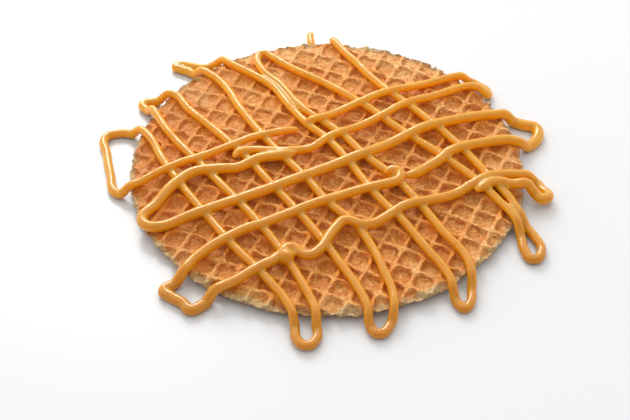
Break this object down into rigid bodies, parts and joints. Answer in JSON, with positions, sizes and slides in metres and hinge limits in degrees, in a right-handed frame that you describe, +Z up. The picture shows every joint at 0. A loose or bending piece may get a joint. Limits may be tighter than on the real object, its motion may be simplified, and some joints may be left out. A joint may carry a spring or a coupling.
{
  "type": "stroopwafel",
  "caption": "Round thin baked wafer with a pressed square waffle grid, drizzled with crossing threads of glossy caramel that hang over its rim.",
  "frame": {"origin": "centre of the wafer's flat underside, on the surface that it lies on", "axes": "+Z up out of the wafer's patterned face; -Y towards the side where the three long caramel loops hang over the rim"},
  "size_m": [0.1153, 0.1175, 0.0076],
  "materials": {
    "baked_wafer": "baked wafer dough, matt and slightly grainy, golden brown with pale ridges and a pale crumbly rim",
    "caramel": "glossy translucent golden caramel"
  },
  "bodies": {
    "root": {"wafer": "baked_wafer", "drizzle_zigzag": "caramel", "drizzle_back": "caramel", "drizzle_middle": "caramel", "drizzle_front": "caramel"}
  },
  "joints": []
}
